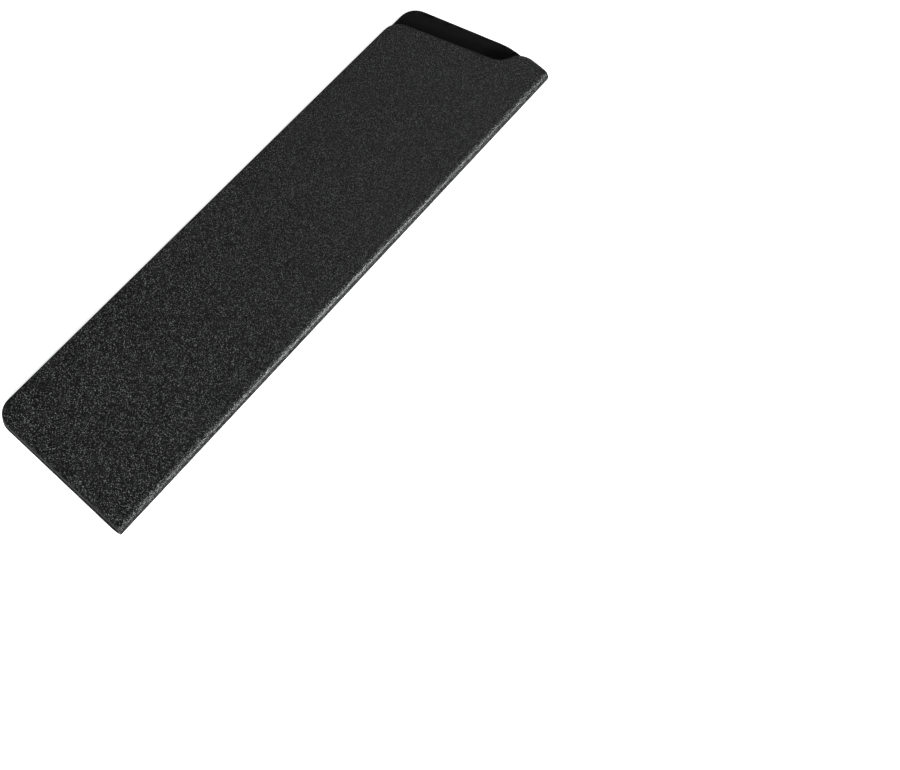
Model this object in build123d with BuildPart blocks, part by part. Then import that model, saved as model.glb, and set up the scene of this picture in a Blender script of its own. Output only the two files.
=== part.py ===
from build123d import *
import os
from math import atan, cos, degrees, radians, sin, sqrt, tan

# A folded blade guard: one stiff plastic sheet bent round on itself along one long edge and
# lined with felt. It lies on its back leaf. +X runs along the fold to the open mouth, the fold
# is at -Y, the two free long edges are at +Y and +Z is up through the leaves. Millimetres.

# The sheet and its lining
guard_length = 267.0
leaf_width = 59.8
sheet_thickness = 1.2
glue_thickness = 0.15
felt_thickness = 1.0

# The bend leaves room inside its felt for a blade's edge, and the felts almost meet at the lips
felt_bend_radius = 1.6
lip_gap = 0.3

# The back leaf is a little narrower than the front leaf
back_lip_setback = 0.95

# Mouth edge of the front leaf, set back from the end of the bend, with an ear beside the bend
front_lip_setback = 38.2
relief_depth = 13.8
relief_height = 16.3
relief_radius = 13.1
ear_setback = 2.4
ear_width = 12.2
ear_radius = 10.5

# Mouth edge of the back leaf, which runs on as a tongue
tongue_lip_setback = 25.5
tongue_heel_height = 13.8
tongue_heel_radius = 33.0

# Rounded corners and edges
mouth_corner_radius = 10.0
tongue_corner_radius = 11.3
tip_corner_radius = 7.2
edge_round = 0.3

# Two rounded corners take up no more than this share of the side between them
rounded_share = 0.97

# The felt stops a little short of the sheet's edges, and the glue a little short of the felt's
felt_setback = 0.4
glue_setback = 0.8

# The stack of layers as radii about the bend's axis
glue_bend_radius = felt_bend_radius + felt_thickness
sheet_bend_radius = glue_bend_radius + glue_thickness
outer_bend_radius = sheet_bend_radius + sheet_thickness

# The front leaf leans down by the angle that leaves lip_gap between the felts at their ends
felt_reach = leaf_width - felt_setback
lean_tangent = (sqrt(felt_reach**2 + lip_gap * (2 * felt_bend_radius - lip_gap)) - felt_reach) / lip_gap
lean_angle = 2 * degrees(atan(lean_tangent))

# The bend's centre line, placed so that the whole guard is centred on the origin
guard_width = outer_bend_radius * (1 + sin(radians(lean_angle))) + leaf_width * cos(radians(lean_angle))
bend_y = outer_bend_radius - guard_width / 2
bend_z = outer_bend_radius
half_length = guard_length / 2
bend_centre = Vector(0, bend_y, bend_z)
along_guard = Vector(1, 0, 0)
front_outward = Vector(0, sin(radians(lean_angle)), cos(radians(lean_angle)))

# Planes of the two leaves: the table under the back leaf, and the bend's centre for the front leaf
back_plane = Plane(origin=(0, bend_y, 0), x_dir=along_guard, z_dir=(0, 0, 1))
front_plane = Plane(origin=bend_centre, x_dir=along_guard, z_dir=front_outward)

# Planes through the bend's centre where it meets each leaf, with y pointing out of the bend
back_root = Plane(origin=bend_centre, x_dir=along_guard, z_dir=(0, 1, 0))
front_root = Plane(origin=bend_centre, x_dir=along_guard, z_dir=along_guard.cross(front_outward))


def fitted_radii(corners, radii):
    """The corner radii, made smaller where two corners need more than the side between them."""
    sides = [Vector(*after) - Vector(*before) for before, after in zip(corners, corners[1:])]
    turns = [radians(side.get_angle(following)) for side, following in zip(sides, sides[1:])]
    needed = [0, *(radius * tan(turn / 2) for radius, turn in zip(radii, turns)), 0]
    ends = zip(sides, needed, needed[1:])
    fits = [min(1, rounded_share * side.length / (start + end)) for side, start, end in ends]
    return [radius * min(beside) for radius, *beside in zip(radii, fits, fits[1:])]


def leaf_blank(corners, radii):
    """The flat outline of a leaf, with its first and last corners square on the bend's line."""
    with BuildSketch() as blank:
        with BuildLine():
            Polyline(*corners, close=True)
        make_face()
        for corner, radius in zip(corners[1:], fitted_radii(corners, radii)):
            fillet(blank.vertices().sort_by_distance((*corner, 0))[0], radius)
    return blank.sketch


def lining_blank(leaf, setback):
    """The outline of a layer on a leaf: set back from every edge but the bend's line."""
    with BuildSketch() as blank:
        offset(leaf, amount=-setback, mode=Mode.ADD)
        with Locations((0, setback / 2)):
            Rectangle(guard_length - 2 * setback, setback)
    return blank.sketch


def bend_half(root, inner_radius, thickness, setback, end_round=0):
    """One layer of the bend, from where it meets a leaf round to the outermost line of the bend."""
    turns_with = along_guard if root is front_root else -along_guard
    turn = 90 + lean_angle if root is front_root else 90
    with BuildPart() as half:
        with BuildSketch(root) as strip:
            with Locations((0, inner_radius + thickness / 2)):
                Rectangle(guard_length - 2 * setback, thickness)
            if end_round:
                fillet(strip.vertices().group_by(Axis.Y)[-1], end_round)
        revolve(axis=Axis(bend_centre, turns_with), revolution_arc=turn)
    return half.part


# Flat outlines: x is along the guard and y is from the bend's line to the free long edge
front_leaf_blank = leaf_blank(
    [
        (-half_length, 0),
        (-half_length, leaf_width),
        (half_length - front_lip_setback, leaf_width),
        (half_length - relief_depth, relief_height),
        (half_length - ear_setback, ear_width),
        (half_length, 0),
    ],
    [tip_corner_radius, mouth_corner_radius, relief_radius, ear_radius],
)
back_leaf_blank = leaf_blank(
    [
        (-half_length, 0),
        (-half_length, leaf_width - back_lip_setback),
        (half_length - tongue_lip_setback, leaf_width - back_lip_setback),
        (half_length, tongue_heel_height),
        (half_length, 0),
    ],
    [tip_corner_radius, tongue_corner_radius, tongue_heel_radius],
)

# Back leaf, flat on the table, with its outside edges rounded except where the bend goes on
with BuildPart() as back_leaf:
    with BuildSketch(back_plane):
        add(back_leaf_blank)
    extrude(amount=sheet_thickness)
    underside = back_leaf.faces().sort_by(Axis.Z)[0]
    fillet(underside.edges().sort_by(Axis.Y)[1:], edge_round)
back_leaf.part.label = "back_leaf"

# Front leaf, leaning down towards the free edges
with BuildPart() as front_leaf:
    with BuildSketch(front_plane.offset(sheet_bend_radius)):
        add(front_leaf_blank)
    extrude(amount=sheet_thickness)
    outside_face = front_leaf.faces().sort_by(Axis(front_plane.origin, front_plane.z_dir))[-1]
    fillet(outside_face.edges().sort_by(Axis.Y)[1:], edge_round)
front_leaf.part.label = "front_leaf"

# Glue films between the sheet and the felt
with BuildPart() as back_adhesive:
    with BuildSketch(back_plane.offset(sheet_thickness)):
        add(lining_blank(back_leaf_blank, glue_setback))
    extrude(amount=glue_thickness)
back_adhesive.part.label = "back_adhesive"

with BuildPart() as front_adhesive:
    with BuildSketch(front_plane.offset(glue_bend_radius)):
        add(lining_blank(front_leaf_blank, glue_setback))
    extrude(amount=glue_thickness)
front_adhesive.part.label = "front_adhesive"

# Felt lining on both leaves
with BuildPart() as back_felt:
    with BuildSketch(back_plane.offset(sheet_thickness + glue_thickness)):
        add(lining_blank(back_leaf_blank, felt_setback))
    extrude(amount=felt_thickness)
back_felt.part.label = "back_felt"

with BuildPart() as front_felt:
    with BuildSketch(front_plane.offset(felt_bend_radius)):
        add(lining_blank(front_leaf_blank, felt_setback))
    extrude(amount=felt_thickness)
front_felt.part.label = "front_felt"

pieces = [back_leaf.part, front_leaf.part]
pieces += [back_adhesive.part, front_adhesive.part]
pieces += [back_felt.part, front_felt.part]

# The bend that joins the leaves and flexes when the guard is opened, in two halves that part at
# its outermost line, with its glue and felt
for side, root in (("back", back_root), ("front", front_root)):
    fold = bend_half(root, sheet_bend_radius, sheet_thickness, 0, end_round=edge_round)
    fold.label = f"{side}_fold"
    fold_adhesive = bend_half(root, glue_bend_radius, glue_thickness, glue_setback)
    fold_adhesive.label = f"{side}_fold_adhesive"
    fold_felt = bend_half(root, felt_bend_radius, felt_thickness, felt_setback)
    fold_felt.label = f"{side}_fold_felt"
    pieces += [fold, fold_adhesive, fold_felt]

os.makedirs("parts", exist_ok=True)
for piece in pieces:
    export_step(piece, f"parts/{piece.label}.step")

print(f"front leaf leans {lean_angle:.3f} degrees")
print(f"bend's outermost line at y {-guard_width / 2:.4f} z {bend_z:.4f}")
print(f"guard {guard_length:.1f} by {guard_width:.2f} by {2 * outer_bend_radius:.2f}")
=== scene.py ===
# %% [markdown]
# # A folded blade guard
#
# The real object is made of three things: one black plastic sheet with a pebbled outside, bent
# round on itself along one long edge, a felt lining folded with it, and the thin film of glue
# between them. This lesson cuts each layer flat, as a die would, and then rolls the flat blank
# up into the guard. The packed model gives the frame, and every length is in metres.

# %% Load the frame
import bpy
import bmesh
import numpy as np
from math import asin, atan2, cos, pi, radians, sin, tan
from mathutils import Matrix, Vector, noise


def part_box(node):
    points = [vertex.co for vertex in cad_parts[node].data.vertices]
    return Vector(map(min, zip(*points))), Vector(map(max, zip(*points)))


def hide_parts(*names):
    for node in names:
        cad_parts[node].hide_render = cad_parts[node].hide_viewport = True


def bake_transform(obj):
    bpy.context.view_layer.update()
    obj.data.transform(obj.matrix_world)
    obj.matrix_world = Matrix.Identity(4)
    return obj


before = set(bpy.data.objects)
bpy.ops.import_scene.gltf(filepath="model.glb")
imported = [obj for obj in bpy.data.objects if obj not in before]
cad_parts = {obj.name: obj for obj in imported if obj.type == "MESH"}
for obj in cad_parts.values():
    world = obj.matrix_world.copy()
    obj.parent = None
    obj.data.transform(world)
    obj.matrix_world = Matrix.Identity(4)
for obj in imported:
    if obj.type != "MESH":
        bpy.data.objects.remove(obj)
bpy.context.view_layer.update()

# %% [markdown]
# ## Sizes
#
# These are the sizes of the real guard, which the packed model has too. The place of the bend
# and the lean of the front leaf could be typed in as well, but they follow from the others, so
# they are read from the boxes of the frame's own nodes. That way the layers built below stand
# exactly where the solids are.

# %% Sizes of the sheet
mm = 0.001
guard_length = 267.0 * mm
leaf_width = 59.8 * mm
back_leaf_width = 58.85 * mm
sheet_thickness = 1.2 * mm
glue_thickness = 0.15 * mm
felt_thickness = 1.0 * mm
outer_bend_radius = 3.95 * mm
half_length = guard_length / 2
stack = sheet_thickness + glue_thickness + felt_thickness
print("sheet, glue and felt together in mm:", round(stack / mm, 2))

# %% Place of the bend
fold_low, fold_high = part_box("back_fold")
leaf_low, leaf_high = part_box("front_leaf")
bend_y = fold_low.y + outer_bend_radius
bend_z = fold_high.z
leaf_rise = leaf_high.z - leaf_low.z

# The rise holds the sheet's thickness, which leans too, so the angle settles in a few rounds
lean_angle = 0.0
for settling in range(5):
    lean_angle = asin((leaf_rise - sheet_thickness * cos(lean_angle)) / leaf_width)
bend_turn = pi + lean_angle
bend_length = outer_bend_radius * bend_turn
print("bend centre in mm:", round(bend_y / mm, 3), round(bend_z / mm, 3))
print("lean of the front leaf in degrees:", round(np.degrees(lean_angle), 3))

# %% [markdown]
# ## The flat blank
#
# A die cuts the sheet before it is bent, so the outline is easiest to give flat. Here x runs
# along the fold and s runs across the sheet: s is below zero on the back leaf, from zero to
# the bend's length on the bend, and above that on the front leaf. At the tip end the blank is
# cut square. At the mouth the front leaf is cut back at a slant, with a small ear beside the
# bend, and the back leaf runs on as a tongue. Each of the two short edges is a row of corners
# (x, s, radius).

# %% Corners of the two short edges
tip_corner_radius = 7.2 * mm
tongue_lip_setback, tongue_corner_radius = 25.5 * mm, 11.3 * mm
tongue_heel_height, tongue_heel_radius = 13.8 * mm, 33.0 * mm
ear_root_radius = 6.0 * mm
ear_setback, ear_width, ear_radius = 2.4 * mm, 12.2 * mm, 10.5 * mm
relief_depth, relief_height, relief_radius = 13.8 * mm, 16.3 * mm, 13.1 * mm
front_lip_setback, mouth_corner_radius = 38.2 * mm, 10.0 * mm

lip_back = -back_leaf_width
lip_front = bend_length + leaf_width
tip_corners = [
    (0, lip_back, 0),
    (-half_length, lip_back, tip_corner_radius),
    (-half_length, lip_front, tip_corner_radius),
    (0, lip_front, 0),
]
mouth_corners = [
    (0, lip_back, 0),
    (half_length - tongue_lip_setback, lip_back, tongue_corner_radius),
    (half_length, -tongue_heel_height, tongue_heel_radius),
    (half_length, bend_length, ear_root_radius),
    (half_length - ear_setback, bend_length + ear_width, ear_radius),
    (half_length - relief_depth, bend_length + relief_height, relief_radius),
    (half_length - front_lip_setback, lip_front, mouth_corner_radius),
    (0, lip_front, 0),
]
print("corners:", len(tip_corners) - 2, "at the tip and", len(mouth_corners) - 2, "at the mouth")

# %% [markdown]
# ## Rounding the corners
#
# Blender could round the corners with a bevel, but working out the arcs also gives the exact
# outward direction at each point. That direction lets every layer and every rounded cut edge be
# set back from the same outline.

# %% Round the corners
arc_steps = 9


def short_edge(corners, outward_sign):
    """Points (x, s) and outward directions along a short edge, with its corners rounded."""
    points, outward = [], []
    for before, (x, s, radius), after in zip(corners, corners[1:], corners[2:]):
        corner = Vector((x, s))
        way_in = (corner - Vector(before[:2])).normalized()
        way_out = (Vector(after[:2]) - corner).normalized()
        turn = atan2(way_in.cross(way_out), way_in.dot(way_out))
        bulge = outward_sign * (1 if turn > 0 else -1)
        normal_in = outward_sign * Vector((way_in.y, -way_in.x))
        centre = corner - way_in * radius * tan(abs(turn) / 2) - bulge * radius * normal_in
        for step in range(arc_steps + 1):
            normal = Matrix.Rotation(turn * step / arc_steps, 2) @ normal_in
            points.append(centre + bulge * radius * normal)
            outward.append(normal)
    return np.array(points), np.array(outward)


def set_back(edge, amount):
    """The points of a short edge, moved inwards by amount."""
    points, outward = edge
    return points - amount * outward


tip_edge = short_edge(tip_corners, -1)
mouth_edge = short_edge(mouth_corners, 1)
print("points on the tip edge:", len(tip_edge[0]), "and on the mouth edge:", len(mouth_edge[0]))

# %% [markdown]
# ## Rolling the blank up
#
# Bending is one small function. A point before the bend stays on the flat back leaf, a point on
# the bend goes round its centre, and a point beyond it lies on the front leaf. Depth is counted
# from the outside face inwards, so the sheet, the glue and the felt all use the same function
# at different depths. A Simple Deform modifier can bend a plate as well, but it would not keep
# the layers apart by exactly their thickness.

# %% The fold as a function
def fold(flat, depth):
    """Places points (x, s) of the blank in the folded guard, depth metres below the outside."""
    x, s = flat[:, 0], flat[:, 1]
    turn = np.clip(s / outer_bend_radius, 0, bend_turn)
    beyond = np.where(s < 0, s, np.maximum(s - bend_length, 0))
    radius = outer_bend_radius - depth
    y = bend_y - radius * np.sin(turn) - beyond * np.cos(turn)
    z = bend_z - radius * np.cos(turn) + beyond * np.sin(turn)
    return np.column_stack([x, y, z])


lips = fold(np.array([[0, lip_back], [0, lip_front]]), np.zeros(2))
print("outside faces at the free edges, y and z in mm:", (lips[:, 1:] / mm).round(3).tolist())

# %% [markdown]
# ## A layer as a grid
#
# A layer is a grid of rows across the blank. Each row runs from the tip edge to the mouth edge,
# and there is a row at every point of the rounded corners, so the outline is exact. Rows are
# close together on the bend and just beside it, and wider apart on the flat leaves. Filling an
# outline with one n-gon is quicker, but a bent n-gon can't follow the bend.

# %% Rows of the grid
row_spacing = 2.5 * mm
column_spacing = 2.5 * mm
closest_rows = 0.06 * mm
bend_rows = 28
rows_beside_bend = [step * mm for step in (0.3, 0.6, 0.9, 1.2, 1.5, 1.8, 2.1, 2.4, 2.8, 3.3, 4.0)]
even_rows_from = 5 * mm


def grid_rows(first, last, *edges):
    """The s value of every row, from the back lip to the front lip, with none too close."""
    wanted = [s for edge in edges for s in edge[:, 1]]
    wanted += list(np.linspace(0, bend_length, bend_rows + 1))
    wanted += [-step for step in rows_beside_bend]
    wanted += [bend_length + step for step in rows_beside_bend]
    wanted += list(np.arange(-even_rows_from, first, -row_spacing))
    wanted += list(np.arange(bend_length + even_rows_from, last, row_spacing))
    rows = [first]
    for s in sorted(wanted):
        if s - rows[-1] > closest_rows and last - s > closest_rows:
            rows.append(s)
    return np.array(rows + [last])


print("rows across the sheet:", len(grid_rows(lip_back, lip_front, tip_edge[0], mouth_edge[0])))

# %% The grid and its rim
def layer_grid(inset):
    """Flat grid (rows, columns, 2) of the blank set back by inset, and its outward edges."""
    tip, mouth = set_back(tip_edge, inset), set_back(mouth_edge, inset)
    rows = grid_rows(lip_back + inset, lip_front - inset, tip, mouth)
    columns = round(guard_length / column_spacing)
    share = np.linspace(0, 1, columns + 1)
    low = np.interp(rows, tip[:, 1], tip[:, 0])
    high = np.interp(rows, mouth[:, 1], mouth[:, 0])
    x = low[:, None] + (high - low)[:, None] * share[None, :]
    grid = np.stack([x, np.repeat(rows[:, None], columns + 1, axis=1)], axis=2)
    outward = np.zeros_like(grid)
    for column, points, edge in ((0, tip, tip_edge), (-1, mouth, mouth_edge)):
        for axis in (0, 1):
            outward[:, column, axis] = np.interp(rows, points[:, 1], edge[1][:, axis])
    outward[0, 1:-1] = (0, -1)
    outward[-1, 1:-1] = (0, 1)
    return grid, outward


def rim_loop(rows, columns):
    """Grid places once round the rim."""
    loop = [(0, column) for column in range(columns)]
    loop += [(row, columns - 1) for row in range(1, rows)]
    loop += [(rows - 1, column) for column in range(columns - 2, -1, -1)]
    loop += [(row, 0) for row in range(rows - 2, 0, -1)]
    return np.array(loop)


sheet_rows, sheet_columns = layer_grid(0)[0].shape[:2]
print("grid of the sheet:", sheet_rows, "rows and", sheet_columns, "columns")
print("points once round its rim:", len(rim_loop(sheet_rows, sheet_columns)))

# %% [markdown]
# ## From grid to mesh
#
# The same grid is used for a layer's outside and inside face, and rings of points between them
# make the cut edge. A Solidify modifier would give the thickness too, but only with square
# edges. A ring close to each face keeps the smooth shading flat right up to the rounding.

# %% Faces of a layer
def face_quads(rows, columns, start):
    """Quads that fill a grid of points, the first of which is number start."""
    corners = [
        start + row * columns + column for row in range(rows - 1) for column in range(columns - 1)
    ]
    return [(a, a + 1, a + columns + 1, a + columns) for a in corners]


def edge_quads(ring, following):
    """Quads that join one ring of points to the next."""
    around = zip(ring, following, np.roll(following, -1), np.roll(ring, -1))
    return [tuple(int(point) for point in quad) for quad in around]


def mesh_piece(name, points, faces, kinds):
    """A smooth object from points and faces, with its normals pointing out."""
    mesh = bpy.data.meshes.new(name)
    mesh.from_pydata(points, [], faces)
    mesh.polygons.foreach_set("material_index", kinds)
    work = bmesh.new()
    work.from_mesh(mesh)
    bmesh.ops.recalc_face_normals(work, faces=work.faces)
    work.to_mesh(mesh)
    work.free()
    mesh.shade_smooth()
    piece = bpy.data.objects.new(name, mesh)
    bpy.context.scene.collection.objects.link(piece)
    print(name, "has", len(mesh.vertices), "points and", len(mesh.polygons), "faces")
    return piece


print("faces on one side of the sheet:", len(face_quads(sheet_rows, sheet_columns, 0)))

# %% Build a layer
def build_layer(name, setback, profile, shape):
    """A closed mesh: the outside face, rings of (inset, depth) round the rim, the inside face."""
    face_inset = profile[0][0]
    grid, outward = layer_grid(setback + face_inset)
    rows, columns = grid.shape[:2]
    loop = rim_loop(rows, columns)
    rim_places = loop[:, 0] * columns + loop[:, 1]
    rim_flat, rim_out = grid.reshape(-1, 2)[rim_places], outward.reshape(-1, 2)[rim_places]
    rim_out = rim_out / np.linalg.norm(rim_out, axis=1, keepdims=True)

    def folded(flat, depth):
        return fold(flat, shape(flat, np.full(len(flat), depth)))

    points = [folded(grid.reshape(-1, 2), profile[0][1])]
    rings = [rim_places]
    for inset, depth in profile[1:-1]:
        rings.append(sum(map(len, points)) + np.arange(len(loop)))
        points.append(folded(rim_flat + rim_out * (face_inset - inset), depth))
    inside_start = sum(map(len, points))
    points.append(folded(grid.reshape(-1, 2), profile[-1][1]))
    rings.append(inside_start + rim_places)

    outside = face_quads(rows, columns, 0)
    edge = [quad for pair in zip(rings, rings[1:]) for quad in edge_quads(*pair)]
    inside = face_quads(rows, columns, inside_start)
    kinds = [0] * len(outside) + [1] * len(edge) + [2] * len(inside)
    return mesh_piece(name, np.concatenate(points).tolist(), outside + edge + inside, kinds)


print("a layer's faces are of three kinds: 0 outside, 1 edge, 2 inside")

# %% [markdown]
# ## The plastic sheet
#
# The sheet is bent warm, and two small things show it. Beside the bend the leaves sink a tenth
# of a millimetre before they run flat, and that dip is a dark line beside the bright bend. The
# outside of the cut edge is rounded and the inside is nearly sharp. Both could be painted on
# with a texture, but real shape catches the light from every side, so both are in the mesh.

# %% Dip and cut edge
dip_depth = 0.1 * mm
dip_place = 1.1 * mm
dip_width = 0.7 * mm
edge_round = 0.3 * mm
edge_eased = 0.08 * mm
beside_rounding = 0.06 * mm


def bend_dip(flat, depth):
    """Adds the shallow dip beside the bend to the depth of each point."""
    s = flat[:, 1]
    beside = np.where(s < bend_length / 2, -s, s - bend_length)
    return depth + dip_depth * np.exp(-(((beside - dip_place) / dip_width) ** 2))


def edge_profile(outside, inside, rounded, eased):
    """Insets and depths from the outside face over a rounded edge to an eased inside edge."""
    arc = [radians(step) for step in (0, 22.5, 45, 67.5, 90)]
    rings = [(rounded + beside_rounding, outside)]
    rings += [(rounded * (1 - sin(a)), outside + rounded * (1 - cos(a))) for a in arc]
    rings += [(0, inside - eased), (eased, inside), (rounded + beside_rounding, inside)]
    return rings


sheet_profile = edge_profile(0, sheet_thickness, edge_round, edge_eased)
print("rings round the sheet's edge:", len(sheet_profile))

# %% Make the sheet
sheet = build_layer("sheet", 0, sheet_profile, bend_dip)
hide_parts("back_leaf", "back_fold", "front_fold", "front_leaf")

# %% [markdown]
# ## The glue film
#
# The film is a seventh of a millimetre thick and stops short of the felt's edge, so it hardly
# shows. It could be left out, but it is a real layer, and it fills the space between the sheet
# and the felt. It is built like the sheet, from the depth at which the sheet ends.

# %% Make the glue film
glue_setback = 0.8 * mm
glue_round = 0.05 * mm
felt_outside = sheet_thickness + glue_thickness

glue_profile = edge_profile(sheet_thickness, felt_outside, glue_round, glue_round)
glue_film = build_layer("glue_film", glue_setback, glue_profile, bend_dip)
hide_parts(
    "back_adhesive", "back_fold_adhesive", "front_fold_adhesive", "front_adhesive"
)

# %% [markdown]
# ## The felt lining
#
# Felt is pressed fibre, so its face is never quite flat and its cut edge is soft. The felt's
# inside face is moved by a slow noise of a few hundredths of a millimetre, and the rim is well
# rounded. A cloth simulation would add nothing here, because the felt is glued down all over
# and can't sag.

# %% Make the felt lining
felt_setback = 0.4 * mm
felt_inside = felt_outside + felt_thickness
felt_round = 0.1 * mm
felt_eased = 0.3 * mm
nap_height = 0.05 * mm
nap_scale = 4.0 * mm


def felt_face(flat, depth):
    """The bend's dip, and on the inner half of the thickness the felt's slow unevenness."""
    share = np.clip((depth - felt_outside) / felt_thickness, 0, 1)
    wander = np.array([noise.noise(Vector((x, s, 0)) / nap_scale) for x, s in flat])
    return bend_dip(flat, depth) - share * nap_height * (1 + wander)


felt_profile = edge_profile(felt_outside, felt_inside, felt_round, felt_eased)
felt_lining = build_layer("felt_lining", felt_setback, felt_profile, felt_face)
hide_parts("back_felt", "back_fold_felt", "front_fold_felt", "front_felt")

# %% [markdown]
# ## Heights at the hinge
#
# The real bend flexes when the leaves are spread. A layer could be cut at the hinge and move as
# two pieces, but the cut would open as the leaves spread. So each layer stays one piece. Each
# layer has its own two heights above the table at the guard's middle, where it would start to
# turn and have turned. Here the heights are only listed and printed, and each layer's place is
# baked into its mesh.

# %% Bake each layer in place and list its hinge heights
flex_heights = [
    (sheet, 2.0 * mm, 4.5 * mm),
    (glue_film, 2.15 * mm, 4.35 * mm),
    (felt_lining, 3.12 * mm, 3.4 * mm),
]

for layer, low, high in flex_heights:
    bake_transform(layer)
    print(f"{layer.name} flexes from {low / mm:.2f} to {high / mm:.2f} mm above the table")

# %% [markdown]
# ## What the felt was cut to
#
# The felt's flat cut could be measured on the folded mesh, but it follows more exactly from
# the blank, with the bend taken at the middle of the felt's thickness, where the felt is neither
# stretched nor squeezed. Here the bend's length and each row's place on the flat cut are worked
# out.

# %% Flat size of the felt
felt_middle_radius = outer_bend_radius - (felt_outside + felt_inside) / 2
felt_bend_length = felt_middle_radius * bend_turn

felt_grid = layer_grid(felt_setback)[0]
row_place = felt_grid[:, 0, 1].copy()
row_place -= np.clip(row_place, 0, bend_length) * (1 - felt_bend_length / bend_length)

# %% [markdown]
# ## Finishes
#
# Each finish is a small node tree. A helper makes the nodes, so that a finish reads as a list
# of what it does: where the pattern comes from, how it changes the colour, how it changes the
# gloss, and how it raises the surface. The nodes could be placed by hand in the shader editor
# too, but written out they are the same on every run.

# %% Helpers for node trees
class NodeTree:
    """Short ways to add nodes to a tree and to join them."""

    def __init__(self, tree):
        self.tree = tree

    def link(self, value, socket):
        if isinstance(value, bpy.types.NodeSocket):
            self.tree.links.new(value, socket)
        else:
            socket.default_value = value

    def node(self, kind, inputs=None, **settings):
        made = self.tree.nodes.new(kind)
        for setting, value in settings.items():
            setattr(made, setting, value)
        for socket, value in (inputs or {}).items():
            self.link(value, made.inputs[socket])
        return made

    def math(self, operation, first, second):
        return self.node("ShaderNodeMath", {0: first, 1: second}, operation=operation).outputs[0]

    def span(self, value, low, high, to_low, to_high):
        """Maps low to to_low and high to to_high, and stays at those beyond them."""
        inputs = {"Value": value, "From Min": low, "From Max": high}
        inputs |= {"To Min": to_low, "To Max": to_high}
        return self.node("ShaderNodeMapRange", inputs).outputs["Result"]

    def blend(self, share, first, second):
        made = self.node("ShaderNodeMix", data_type="RGBA")
        for value, socket in ((share, "Factor"), (first, "A"), (second, "B")):
            self.link(value, made.inputs[socket])
        return made.outputs["Result"]


print("node helpers:", [name for name in vars(NodeTree) if not name.startswith("_")])

# %% A finish
class Finish(NodeTree):
    """A material with a Principled shader and object coordinates in metres."""

    def __init__(self, name):
        self.material = bpy.data.materials.new(name)
        self.material.use_nodes = True
        super().__init__(self.material.node_tree)
        self.shader = self.tree.nodes["Principled BSDF"]
        self.place = self.node("ShaderNodeTexCoord").outputs["Object"]

    def give(self, socket, value):
        """Sets or links one of the shader's own sockets."""
        self.link(value, self.shader.inputs[socket])

    def noise(self, scale, detail=2.0, roughness=0.5, place=None):
        inputs = {"Vector": place or self.place, "Scale": scale}
        inputs |= {"Detail": detail, "Roughness": roughness}
        return self.node("ShaderNodeTexNoise", inputs).outputs["Fac"]

    def stretched(self, scale, turn=0.0):
        inputs = {"Vector": self.place, "Rotation": (0, 0, turn), "Scale": scale}
        return self.node("ShaderNodeMapping", inputs).outputs["Vector"]

    def raise_by(self, height, distance):
        """Bumps the surface by height times distance."""
        inputs = {"Height": height, "Distance": distance, "Strength": 1.0}
        self.give("Normal", self.node("ShaderNodeBump", inputs).outputs["Normal"])


noise_low, noise_high = 0.3, 0.7
print("a noise lies mostly between", noise_low, "and", noise_high)

# %% [markdown]
# ## Pebbled black plastic
#
# The outside of the sheet is rolled against a pebbled steel roller. The pebbles are a little
# over a quarter of a millimetre across, no two of them lean the same way, and each one glints
# on its own, so the face is dark with a fine sparkle. Cells make the pebbles, and each cell's
# own random value paints some tops lighter. These lighter tops are painted glints: a few bright
# ones at the tip end, where the low lamp rakes across, and more but greyer ones towards the
# mouth, where the light is a calm sheen. A slower noise leans the pebbles this way and that.
# Seen at a low angle the pebbles hide each other's shine, so the finish is rougher there.
# An image of leather grain would be quicker, but it would need an unwrapped mesh and it would
# show where it repeats.
#
# Bending stretches the outside of the sheet. The pebbles are flatter and smoother all round the
# bend. At its shoulders, where it runs into the leaves, the tops are painted pale: a painted
# highlight, which widens and speckles the streak that the fold lamp makes on the bend.
# The angle round the bend's centre, counted from the outermost line, says how far a point is on
# either.

# %% Places round the bend
smooth_to_rough = radians(75), radians(95)
# The bend's shoulders, which carry a painted highlight, lie between these angles.
highlight_from = radians(35), radians(55)
highlight_until = radians(72), radians(92)


def bend_shares(finish):
    """How far a point is on the smoothed bend, and how far on the shoulders with the painted
    highlight.
    """
    spot = finish.node("ShaderNodeSeparateXYZ", {"Vector": finish.place}).outputs
    rise = finish.math("SUBTRACT", spot["Z"], bend_z)
    reach = finish.math("SUBTRACT", bend_y, spot["Y"])
    round_bend = finish.math("ABSOLUTE", finish.math("ARCTAN2", rise, reach), 0.0)
    smoothed = finish.span(round_bend, *smooth_to_rough, 1.0, 0.0)
    past_side = finish.span(round_bend, *highlight_from, 0.0, 1.0)
    before_leaf = finish.span(round_bend, *highlight_until, 1.0, 0.0)
    return smoothed, finish.math("MULTIPLY", before_leaf, past_side)


print("shoulders of the bend from", round(np.degrees(highlight_from[0])), "degrees on each side")

# %% Pebbles and their painted glints
pebbles_per_metre = 3600.0
dome_edge, dome_top = 0.65, 0.1
# The pebble tops are painted lighter as glints: few and bright at the tip end, more and greyer
# towards the mouth.
glint_fade_end = 0.3 * half_length
rarity_at_tip, rarity_at_mouth, rarity_at_shoulder = 6.5, 3.0, 4.0
valley_colour = (0.0012, 0.0013, 0.0013, 1)
painted_glints_at_tip = (0.42, 0.45, 0.435, 1)
painted_glints_at_mouth = (0.18, 0.192, 0.186, 1)
# The near-white tops on the bend's shoulders are a painted highlight.
painted_highlight_at_shoulder = (0.95, 1.0, 0.97, 1)


def pebbles(finish):
    """The dome of each pebble, and one random value for each."""
    inputs = {"Vector": finish.place, "Scale": pebbles_per_metre}
    cells = finish.node("ShaderNodeTexVoronoi", inputs, feature="F1").outputs
    dome = finish.span(cells["Distance"], dome_top, dome_edge, 1.0, 0.0)
    own_value = finish.node("ShaderNodeSeparateXYZ", {"Vector": cells["Color"]}).outputs["X"]
    return dome, own_value


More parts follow.
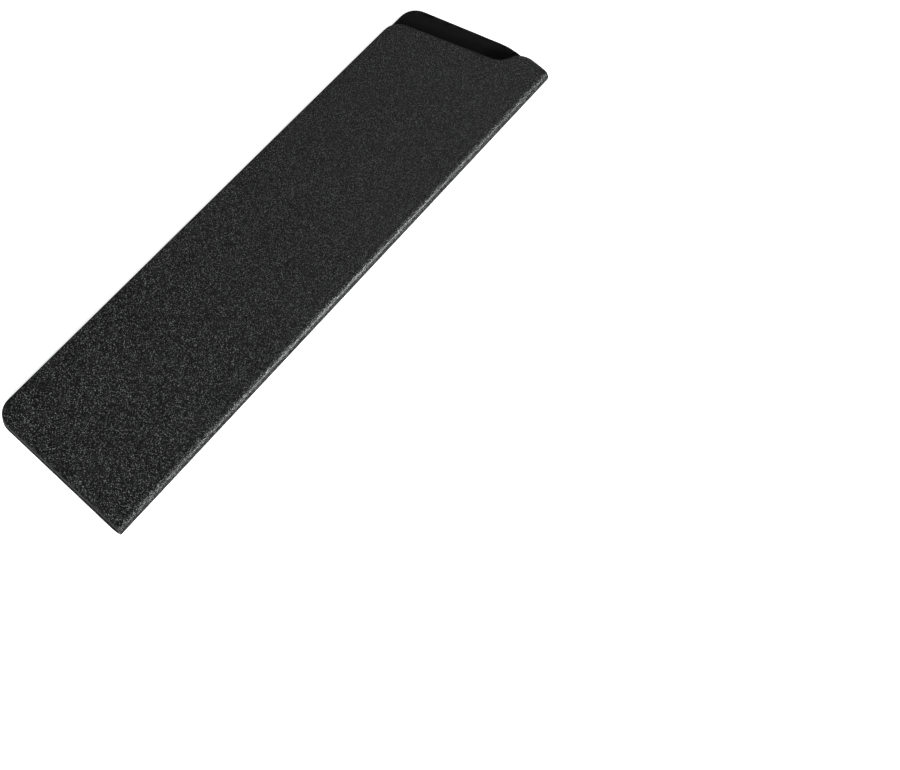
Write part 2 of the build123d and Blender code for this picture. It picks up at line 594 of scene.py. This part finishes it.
def glint_painted_colour(finish, dome, own_value, shoulder):
    """Black valleys and tops painted lighter as glints, few and bright where the rarity is high."""
    along = finish.node("ShaderNodeSeparateXYZ", {"Vector": finish.place}).outputs["X"]
    near_tip = finish.span(along, -half_length, glint_fade_end, 1.0, 0.0)
    rarity = finish.span(near_tip, 0.0, 1.0, rarity_at_mouth, rarity_at_tip)
    rarity = finish.span(shoulder, 0.0, 1.0, rarity, rarity_at_shoulder)
    # Painted glints: part of each pebble's top, sparser towards the tip end.
    glint_share = finish.math("MULTIPLY", dome, finish.math("POWER", own_value, rarity))
    tops = finish.blend(near_tip, painted_glints_at_mouth, painted_glints_at_tip)
    # On the shoulders the tops are painted near white as a highlight.
    tops = finish.blend(shoulder, tops, painted_highlight_at_shoulder)
    return finish.blend(glint_share, valley_colour, tops)


print("pebbles", round(1000 / pebbles_per_metre, 2), "mm across")

# %% Plastic finish
pebble_height = 0.06 * mm
leans_per_metre = 2400.0
dome_part, lean_part = 0.8, 2.0
height_on_bend = 0.35
shine_in_valley, shine_on_top = 0.26, 0.2
hidden_from, hidden_at = 0.24, 0.36
hidden_roughness = 0.85


def grain_finish():
    """Black plastic with a fine pebble grain and painted glints, stretched where it is bent, with a
    painted highlight on the bend's shoulders.
    """
    finish = Finish("black_pebbled_plastic")
    dome, own_value = pebbles(finish)
    smoothed, shoulder = bend_shares(finish)
    finish.give("Base Color", glint_painted_colour(finish, dome, own_value, shoulder))
    raised = finish.math("MULTIPLY", dome, dome_part)
    leaning = finish.noise(leans_per_metre, detail=1.0, roughness=0.6)
    lean = finish.math("MULTIPLY", leaning, lean_part)
    flatter = finish.span(smoothed, 0.0, 1.0, 1.0, height_on_bend)
    height = finish.math("MULTIPLY", finish.math("ADD", raised, lean), flatter)
    finish.raise_by(height, pebble_height)
    facing_away = finish.node("ShaderNodeLayerWeight", {"Blend": 0.5}).outputs["Facing"]
    hidden = finish.span(facing_away, hidden_from, hidden_at, 0.0, hidden_roughness)
    shine = finish.span(dome, 0.0, 1.0, shine_in_valley, shine_on_top)
    finish.give("Roughness", finish.math("MAXIMUM", shine, hidden))
    finish.give("Specular IOR Level", 0.22)
    return finish.material


grain = grain_finish()
print("plastic finish:", grain.name)

# %% [markdown]
# ## Die-cut edge
#
# The edge shows how the sheet was cut: no pebbles, but fine marks dragged through the thickness
# by the die. It could take the plastic finish as it is, but then pebbles would show on it. A
# noise stretched upwards draws the marks.

# %% Cut edge finish
drags_per_metre = 2600.0
drag_stretch = (1.0, 1.0, 0.12)
drag_height = 0.03 * mm
cut_dark = (0.0027, 0.0028, 0.0028, 1)
cut_light = (0.0133, 0.014, 0.0137, 1)
cut_smooth, cut_rough = 0.5, 0.65


def cut_finish():
    """The die-cut edge of the same plastic: black, dull, with fine drag marks."""
    finish = Finish("cut_plastic_edge")
    upwards = finish.stretched(drag_stretch)
    drag = finish.noise(drags_per_metre, detail=3.0, roughness=0.6, place=upwards)
    finish.give("Base Color", finish.blend(drag, cut_dark, cut_light))
    finish.give("Roughness", finish.span(drag, noise_low, noise_high, cut_smooth, cut_rough))
    finish.raise_by(drag, drag_height)
    finish.give("Specular IOR Level", 0.2)
    return finish.material


cut_edge = cut_finish()
for material in (grain, cut_edge, grain):
    sheet.data.materials.append(material)
print("outside, edge and inside of the sheet:", [kind.name for kind in sheet.data.materials])

# %% [markdown]
# ## Felt and glue
#
# Black felt is darker than black plastic, because light goes in between the fibres. It gets a
# low colour, nearly full roughness and a faint sheen. Hair strands could stand for the nap, but
# it is too short to see as hairs, so three noises, each stretched another way, give the look of
# pressed fibres. The glue is a pale film, a little cloudy.

# %% Felt finish
fibres_per_metre = 700.0
fibre_height = 0.12 * mm
fibre_stretch = (1.0, 7.0, 1.0)
fibre_turns = (0.3, 1.35, 2.4)
fibres_low, fibres_high = 1.1, 1.9
felt_dark = (0.0021, 0.0021, 0.0022, 1)
felt_light = (0.0062, 0.0062, 0.0066, 1)


def felt_finish():
    """Near-black felt with short fibres lying in all directions."""
    finish = Finish("black_felt")
    height = 0.0
    for turn in fibre_turns:
        one_way = finish.stretched(fibre_stretch, turn)
        laid = finish.noise(fibres_per_metre, detail=3.0, roughness=0.6, place=one_way)
        height = finish.math("ADD", laid, height)
    share = finish.span(height, fibres_low, fibres_high, 0.0, 1.0)
    finish.give("Base Color", finish.blend(share, felt_dark, felt_light))
    finish.raise_by(height, fibre_height)
    finish.give("Roughness", 0.95)
    finish.give("Specular IOR Level", 0.107)
    finish.give("Sheen Weight", 0.01)
    finish.give("Sheen Roughness", 0.6)
    return finish.material


felt = felt_finish()
for face in ("outside", "edge", "inside"):
    felt_lining.data.materials.append(felt)
print("lining finish:", felt.name)

# %% Glue finish
clouds_per_metre = 220.0
cloud_height = 0.03 * mm
glue_dark = (0.55, 0.51, 0.39, 1)
glue_light = (0.68, 0.64, 0.52, 1)
glue_smooth, glue_rough = 0.2, 0.35


def glue_finish():
    """Pale, slightly cloudy glue."""
    finish = Finish("pale_glue")
    cloud = finish.noise(clouds_per_metre, detail=3.0, roughness=0.6)
    finish.give("Base Color", finish.blend(cloud, glue_dark, glue_light))
    finish.give("Roughness", finish.span(cloud, noise_low, noise_high, glue_smooth, glue_rough))
    finish.raise_by(cloud, cloud_height)
    return finish.material


glue = glue_finish()
for face in ("outside", "edge", "inside"):
    glue_film.data.materials.append(glue)
print("film finish:", glue.name)

# %% [markdown]
# ## Floor
#
# The floor is plain and pale, and the background of the picture is white. More light would turn
# the floor white too, but it would also wash out the guard. So the white comes from the floor's
# own material: what the camera sees of it, or sees of it in a gloss, is lifted by a small glow
# that lights nothing, and the shadow under the guard stays. The lamps reach only the middle of
# the floor, so the glow is stronger further out.

# %% Make the floor
floor_size = 60.0
floor_drop = 0.05 * mm
half_floor = floor_size / 2

floor_mesh = bpy.data.meshes.new("floor")
sides = ((-1, -1), (1, -1), (1, 1), (-1, 1))
floor_corners = [(half_floor * x, half_floor * y, 0) for x, y in sides]
floor_mesh.from_pydata(floor_corners, [], [(0, 1, 2, 3)])
floor = bpy.data.objects.new("floor", floor_mesh)
floor.location.z = -floor_drop
bpy.context.scene.collection.objects.link(floor)
print("floor", floor_size, "m wide, just under the guard")

# %% Floor finish
floor_dark, floor_light = (0.79, 0.79, 0.79, 1), (0.81, 0.81, 0.81, 1)
glow_from, glow_until = 0.3, 1.3
glow_near, glow_far = 0.83, 0.95
specks_per_metre = 40.0
white = (1, 1, 1, 1)


def seen_by_eye(tree):
    """One for a ray that the camera sends, straight or by way of a gloss or a clear thing."""
    rays = tree.node("ShaderNodeLightPath").outputs
    seen = tree.math("MAXIMUM", rays["Is Camera Ray"], rays["Is Glossy Ray"])
    return tree.math("MAXIMUM", seen, rays["Is Transmission Ray"])


def floor_finish():
    """Pale matt floor that glows only for the eye, and more so further from the middle."""
    finish = Finish("pale_floor")
    finish.give("Base Color", finish.blend(finish.noise(specks_per_metre), floor_dark, floor_light))
    finish.give("Roughness", 0.9)
    middle = finish.node("ShaderNodeVectorMath", {0: finish.place}, operation="LENGTH")
    glow = finish.span(middle.outputs["Value"], glow_from, glow_until, glow_near, glow_far)
    finish.give("Emission Color", white)
    finish.give("Emission Strength", finish.math("MULTIPLY", seen_by_eye(finish), glow))
    return finish.material


floor_mesh.materials.append(floor_finish())
print("floor glows", glow_near, "near the guard and", glow_far, "far from it")

# %% [markdown]
# ## Light
#
# A small low lamp beyond the tip end makes the pebbles sparkle, most of all at that end. A long
# narrow lamp on the side of the fold is mirrored by the bend as a bright streak. A broad lamp
# high beyond the mouth keeps the far end as light as the near one but calmer, and a dim lamp on
# the open side and a dim world fill the shadows. Together they are at the level at which a
# colour looks as it is written. One picture of a studio could light the scene as well, but with
# lamps each effect can be moved on its own.

# %% Lamps
def soft_lamp(name, place, aim, width, height, power):
    """A rectangular lamp at place that faces aim."""
    data = bpy.data.lights.new(name, "AREA")
    data.shape = "RECTANGLE"
    data.size, data.size_y, data.energy = width, height, power
    lamp = bpy.data.objects.new(name, data)
    lamp.location = place
    lamp.rotation_euler = (Vector(aim) - Vector(place)).to_track_quat("-Z", "Y").to_euler()
    bpy.context.scene.collection.objects.link(lamp)


lamps = [
    # name, place, what it faces, width, height, watts
    ("key_lamp", (-0.45, -0.05, 0.35), (-0.05, 0, 0), 0.08, 0.08, 2.15),
    ("fold_lamp", (0.24, -0.56, 0.31), (0, 0, 0), 0.42, 0.06, 3.7),
    ("mouth_lamp", (0.45, -0.05, 0.62), (0.10, 0, 0), 0.6, 0.6, 1.35),
    ("side_lamp", (0.0, 0.75, 0.75), (0, 0, 0), 1.0, 1.0, 0.6),
]
for lamp in lamps:
    soft_lamp(*lamp)
print("lamps and their watts:", [(lamp[0], lamp[-1]) for lamp in lamps])

# %% [markdown]
# ## World
#
# The world lights the guard dimly from all round. A white world would be simpler, but the
# plastic would mirror it and turn grey. So it is white only near the horizon, and only for what
# the camera sees there: the background stays white in a low view, and the plastic black.

# %% Make the world
world_strength = 0.075
white_below, dim_above = 0.22, 0.35

world = bpy.data.worlds.new("studio")
bpy.context.scene.world = world
world.use_nodes = True
sky = NodeTree(world.node_tree)
dim = sky.tree.nodes["Background"]
dim.inputs["Color"].default_value = white
dim.inputs["Strength"].default_value = world_strength
bright = sky.node("ShaderNodeBackground", {"Color": white, "Strength": 1.0})
direction = sky.node("ShaderNodeTexCoord").outputs["Generated"]
upward = sky.node("ShaderNodeSeparateXYZ", {"Vector": direction}).outputs["Z"]
low_sky = sky.span(upward, white_below, dim_above, 1.0, 0.0)
either = sky.node("ShaderNodeMixShader", {0: sky.math("MULTIPLY", seen_by_eye(sky), low_sky)})
sky.link(dim.outputs["Background"], either.inputs[1])
sky.link(bright.outputs["Background"], either.inputs[2])
sky.link(either.outputs["Shader"], sky.tree.nodes["World Output"].inputs["Surface"])
print("world strength:", world_strength)

# %% [markdown]
# ## Camera
#
# The photograph was taken from above and a little to one side. A camera could be aimed by eye,
# but matching the guard's outline gives its place and turn more closely, and a 60 mm lens on a
# 36 mm wide sensor fits that outline best.

# %% Place the camera
camera_place = (-0.21919, 0.06321, 0.55949)
camera_turn = (radians(5.552), radians(-25.295), radians(-47.292))

camera_data = bpy.data.cameras.new("camera")
camera_data.sensor_fit = "HORIZONTAL"
camera_data.sensor_width = 36.0
camera_data.lens = 60.0
camera = bpy.data.objects.new("camera", camera_data)
camera.location = camera_place
camera.rotation_euler = camera_turn
bpy.context.scene.collection.objects.link(camera)
bpy.context.scene.camera = camera
bpy.context.scene.view_settings.view_transform = "Standard"
print("camera at", camera_place)

# %% [markdown]
